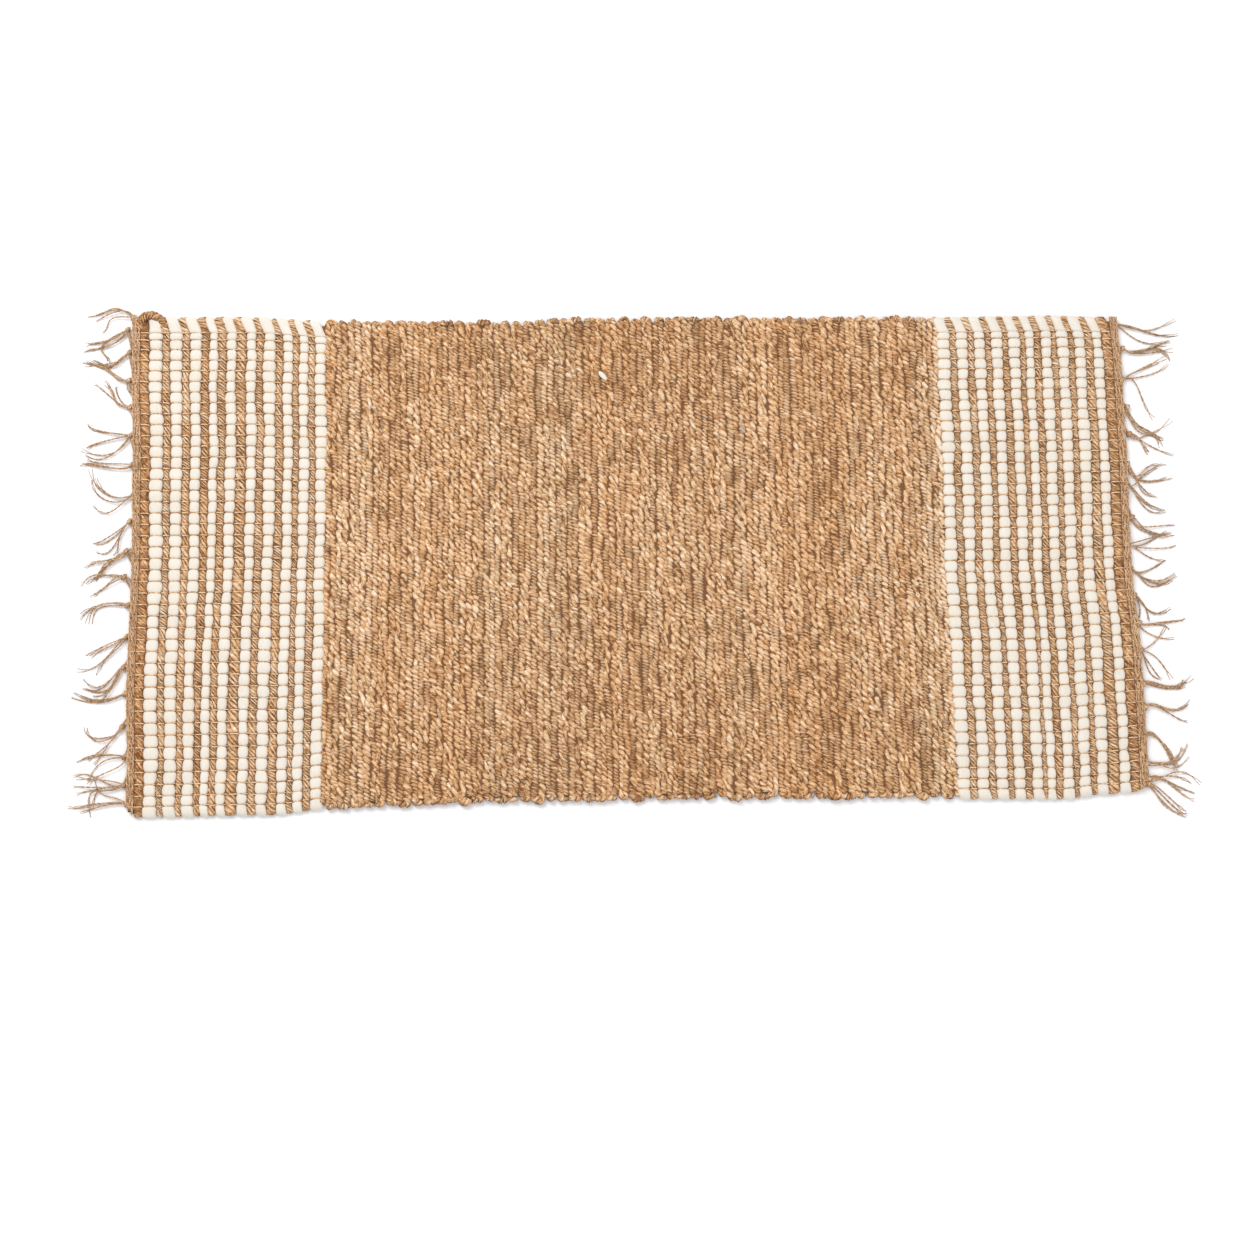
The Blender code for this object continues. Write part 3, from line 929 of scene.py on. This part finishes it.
# A cord leaves the weave this far inside the end of the cloth, at this height.
GATHER = 0.009
LEAD_Z = 0.0038
PLY_RADIUS = 0.00056
PLY_TURNS = 13
PLIES_APART = 0.00036
TIP_OPENING = 0.0016
# How far single cords stray from their lock, how high they rest, and how they rise to the knot.
CORD_STRAY = 0.0021
REST_Z = 0.0012
KNOT_RISE = 0.0040
KNOT_Z = 0.0042
KNOT_REACH = 0.0026
KNOT_CORD = 0.00155
# Each tassel from the far edge to the near one, in millimetres: how far out from the middle of the rug
# and how far up it its knot lies, then for each of its three locks how far out and up from the knot it
# passes at a third and at two thirds of its length, and where its tips lie.
LEFT_TASSELS = (
    (618, 300, (23, 11, 40, 7, 57, 5), (18, 9, 35, 5, 51, -6), (28, -1, 35, -8, 41, -18)),
    (625, 284, (24, -14, 39, -18, 54, -14), (15, -16, 36, -23, 59, -23), (30, -21, 27, -32, 22, -45)),
    (622, 255, (17, -13, 31, -19, 59, -10), (12, -10, 36, -17, 58, -13), (13, -15, 25, -17, 49, -10)),
    (621, 219, (17, 5, 31, 15, 59, 25), (15, 7, 35, 16, 58, 17), (2, -7, -2, -13, -3, -7)),
    (618, 185, (15, 4, 24, 19, 40, 38), (17, 6, 31, 22, 50, 36), (13, 12, 20, 21, 18, 33)),
    (616, 149, (22, -4, 44, -12, 54, -19), (13, -16, 32, -26, 61, -14), (26, 4, 46, 7, 53, 16)),
    (613, 112, (20, -4, 43, 0, 63, 4), (21, -3, 45, -1, 63, 4), (21, 3, 42, 6, 63, 13)),
    (609, 76, (18, -4, 39, 4, 52, 32), (23, -9, 44, 0, 55, 21), (16, -14, 33, -21, 59, -5)),
    (613, 41, (13, -12, 30, -26, 48, -23), (11, -19, 21, -35, 37, -38), (11, -23, 17, -35, 32, -44)),
    (616, 4, (13, -10, 35, -12, 45, -30), (15, -11, 30, -22, 39, -39), (17, -13, 31, -29, 41, -38)),
    (617, -28, (18, 2, 38, -2, 49, -14), (13, -3, 26, -16, 44, -26), (14, -7, 26, -21, 48, -26)),
    (611, -63, (17, 3, 39, -2, 59, -16), (19, 2, 39, -5, 53, -28), (20, 0, 37, -7, 45, -25)),
    (611, -102, (11, -4, 31, -13, 50, -27), (14, -16, 27, -33, 40, -51), (17, -16, 33, -33, 55, -36)),
    (613, -139, (11, -10, 28, -23, 52, -13), (10, -14, 23, -26, 55, -27), (8, -17, 22, -34, 43, -34)),
    (610, -171, (12, -5, 36, -9, 67, 5), (14, -7, 37, -14, 68, -5), (16, -6, 39, -9, 64, 3)),
    (612, -211, (13, -11, 33, -16, 45, 7), (10, -14, 24, -33, 38, -46), (13, -19, 27, -31, 40, -45)),
    (607, -247, (20, 3, 40, 0, 59, -14), (11, -13, 33, -25, 45, -34), (17, -3, 35, -13, 44, -34)),
    (607, -281, (19, 3, 40, 8, 64, 7), (21, -3, 46, -5, 64, -3), (24, -7, 39, -13, 41, -37)),
    (602, -304, (24, 2, 49, -2, 73, -3), (23, -2, 45, -7, 65, -18), (19, 8, 29, 13, 40, 30)),
)
RIGHT_TASSELS = (
    (601, 291, (24, -4, 50, -11, 77, -12), (15, -11, 41, -23, 76, -18), (26, -4, 47, -3, 81, 8)),
    (610, 260, (21, -7, 38, -1, 64, -3), (19, -5, 38, 1, 65, 8), (22, -3, 43, -3, 62, -12)),
    (608, 220, (15, 10, 33, 19, 56, 33), (15, 3, 43, 10, 66, 29), (16, -1, 28, -24, 38, -50)),
    (613, 185, (7, -16, 27, -32, 44, -40), (10, -27, 27, -34, 56, -9), (14, -25, 29, -36, 40, -51)),
    (614, 151, (11, -6, 21, -16, 26, -24), (14, -5, 31, -18, 58, -20), (13, -4, 27, 0, 37, -14)),
    (610, 113, (11, -15, 29, -6, 56, -5), (13, -17, 34, -20, 56, -11), (10, -19, 21, -36, 43, -42)),
    (608, 89, (9, -10, 24, -26, 55, -30), (11, -11, 26, -26, 55, -29), (9, -1, 25, 10, 55, 26)),
    (613, 46, (9, -11, 27, -19, 58, -18), (9, -10, 26, -20, 55, -20), (11, -11, 36, -17, 56, -10)),
    (605, 13, (17, 1, 35, 7, 59, 17), (15, -4, 41, -4, 64, -1), (13, -7, 30, -14, 53, -21)),
    (609, -18, (13, -10, 30, -17, 63, -6), (13, -10, 33, -16, 56, -3), (12, -5, 29, 0, 54, 19)),
    (612, -51, (10, -10, 25, -21, 55, -12), (7, -10, 8, -24, 5, -33), (11, -12, 14, -24, 11, -31)),
    (617, -85, (13, -2, 35, 2, 58, 3), (13, -1, 26, -4, 40, -12), (6, -9, 26, -19, 52, -15)),
    (617, -118, (5, -11, 14, -28, 27, -38), (13, -3, 28, -20, 33, -37), (9, 3, 24, 15, 40, 30)),
    (619, -159, (13, -1, 36, -3, 55, 13), (13, 1, 34, -4, 55, 8), (14, -1, 31, -8, 55, -3)),
    (620, -188, (12, 3, 34, -3, 55, 18), (14, 1, 35, -3, 54, 9), (17, 1, 35, -13, 54, -18)),
    (619, -222, (10, 1, 26, -16, 36, -45), (12, 0, 28, -19, 27, -41), (10, -1, 25, -14, 38, -43)),
    (618, -256, (18, 1, 35, 5, 51, 28), (16, 0, 34, -2, 60, 17), (18, 1, 38, 7, 57, 25)),
    (621, -274, (14, 3, 36, 3, 58, -8), (14, 1, 29, -9, 51, -23), (13, 1, 36, -8, 56, -16)),
    (619, -280, (10, -10, 25, -27, 51, -42), (14, -7, 32, -25, 51, -35), (12, -8, 27, -25, 52, -32)),
)

strand_tube = plain_tube(STRAND_RINGS, 4)


def through(stops, share):
    """A smooth curve through four points: the start, a third, two thirds and the end of the way."""
    weights = (
        (1 - share) * (1 - 1.5 * share) * (1 - 3 * share),
        9 * share * (1 - share) * (1 - 1.5 * share),
        -4.5 * share * (1 - share) * (1 - 3 * share),
        share * (1 - 1.5 * share) * (1 - 3 * share),
    )
    return sum(weight * stop for weight, stop in zip(weights, stops))


def led_out(outward, own, knot_s, knot_t):
    """The places of a cord from the weave, under the heading, to just short of its knot."""
    edge = CLOTH_LEFT if outward < 0 else CLOTH_RIGHT
    start = lay(np.array([edge - outward * GATHER]), np.array([own]), LEAD_Z)[0]
    s = start[0] + (knot_s - start[0]) * LEAD_STEPS
    t = start[1] + (knot_t - start[1]) * LEAD_STEPS**1.5
    return s, t, LEAD_Z + 0.0009 * LEAD_STEPS


def tassel_strands(outward, pairs, knot_s, knot_t, locks, seed):
    """The loose ends of one knot, in three locks, each cord two plies that open towards the tip."""
    rng = np.random.default_rng(seed)
    along = np.linspace(0, 1, STRAND_RINGS)
    share = np.linspace(0, 1, STRAND_RINGS - len(LEAD_STEPS))
    cords = [(pair, way) for pair in pairs for way in (1, -1)]
    made = []
    for number, (pair, way) in enumerate(cords):
        stops = MM * np.array(locks[number % 3]) * (outward, 1, outward, 1, outward, 1)
        stops += rng.normal(0, CORD_STRAY, 6) * (0.5, 0.5, 1, 1, 1.6, 1.6)
        reached = share * rng.uniform(0.86, 1.0)
        s = knot_s + through((0, *stops[::2]), reached)
        t = knot_t + through((0, *stops[1::2]), reached)
        arched = rng.uniform(0, 0.003) * np.sin(math.pi * share) ** 2
        z = KNOT_RISE * (1 - share) ** 2.5 + REST_Z + arched
        own = pair_places[pair] + way * PAIR_SPREAD
        lead_s, lead_t, lead_z = led_out(outward, own, knot_s, knot_t + 0.0009 * way)
        s, t, z = np.concatenate([lead_s, s]), np.concatenate([lead_t, t]), np.concatenate([lead_z, z])
        ahead = np.arctan2(np.gradient(t), np.gradient(s))
        # The twist slackens towards the tip, where the plies part.
        twist = 2 * math.pi * PLY_TURNS * (1 - (1 - along) ** 1.8) / 1.8 + rng.uniform(0, 6)
        open_up = PLIES_APART + TIP_OPENING * along**6 * rng.uniform(0.1, 1.5)
        radius = PLY_RADIUS * (1 - 0.5 * along**5)
        for ply in (0, math.pi):
            across = open_up * np.cos(twist + ply)
            ply_s, ply_t = s - across * np.sin(ahead), t + across * np.cos(ahead)
            ply_z = z + open_up * np.sin(twist + ply)
            ply_seed = seed + 7 * pair + way
            made.append(cord_strand(strand_tube, ply_s, ply_t, ply_z, radius, ply_seed, -1.2, -0.7))
    return made


def knot_coil(knot_s, knot_t, seed):
    """The overhand knot: the cords wrapped round themselves and drawn tight."""
    rng = np.random.default_rng(seed + 9)
    share = np.linspace(-1, 1, STRAND_RINGS)
    made = []
    for wrap in range(3):
        turn = np.linspace(0, 2.4 * math.pi, STRAND_RINGS) + wrap * 2.1
        tilt = rng.uniform(0.5, 1.1)
        radius = KNOT_CORD * (1 - 0.4 * share**6)
        reach = KNOT_REACH * (1 - 0.3 * share**4)
        s = knot_s + 0.0019 * share + 0.0012 * tilt * np.cos(turn)
        t = knot_t + reach * np.cos(turn)
        z = np.maximum(KNOT_Z + reach * np.sin(turn), radius)
        made.append(cord_strand(strand_tube, s, t, z, radius, seed + wrap, -0.8, -0.4))
    return made


for side, outward, tassels in (("left", -1, LEFT_TASSELS), ("right", 1, RIGHT_TASSELS)):
    for number in range(TASSELS):
        pairs = np.arange(bundle_ends[number], bundle_ends[number + 1])
        seed = 3000 + 50 * number + (1500 if side == "right" else 0)
        knot_out, knot_up, *locks = tassels[TASSELS - 1 - number]
        knot_s, knot_t = outward * MM * knot_out, MM * knot_up
        strands = tassel_strands(outward, pairs, knot_s, knot_t, locks, seed)
        strands += knot_coil(knot_s, knot_t, seed)
        piece = strand_piece(f"{side}_tassel_{number + 1:02}", strand_tube, strands, warp_jute)
        woven_in(piece)

# ------------------------------------------------
# Floor and light: a plain white table top, under one broad soft box, one fill, and an even white room.
FLOOR_HALF = 6
ROOM_LIGHT = 0.68

shape = bmesh.new()
bmesh.ops.create_grid(shape, x_segments=1, y_segments=1, size=FLOOR_HALF)
finished("floor", shape, Finish("floor_white", 0.9).plain((0.95, 0.95, 0.96)))


def add_light(name, place, aim, size, power):
    """A square soft box."""
    data = bpy.data.lights.new(name, "AREA")
    data.shape = "SQUARE"
    data.size = size
    data.energy = power
    lamp = bpy.data.objects.new(name, data)
    lamp.location = place
    lamp.rotation_euler = (Vector(aim) - Vector(place)).to_track_quat("-Z", "Y").to_euler()
    bpy.context.scene.collection.objects.link(lamp)


add_light("key_light", place=(-1.2, 1.8, 3.0), aim=(0, -0.1, 0), size=2.0, power=78)
add_light("fill_light", place=(1.6, -2.2, 3.0), aim=(0, -0.2, 0), size=2.6, power=34)

world = bpy.data.worlds.new("studio")
world.use_nodes = True
world.node_tree.nodes["Background"].inputs["Color"].default_value = (1, 1, 1, 1)
world.node_tree.nodes["Background"].inputs["Strength"].default_value = ROOM_LIGHT
bpy.context.scene.world = world
bpy.context.scene.view_settings.view_transform = "Standard"

bpy.context.view_layer.update()
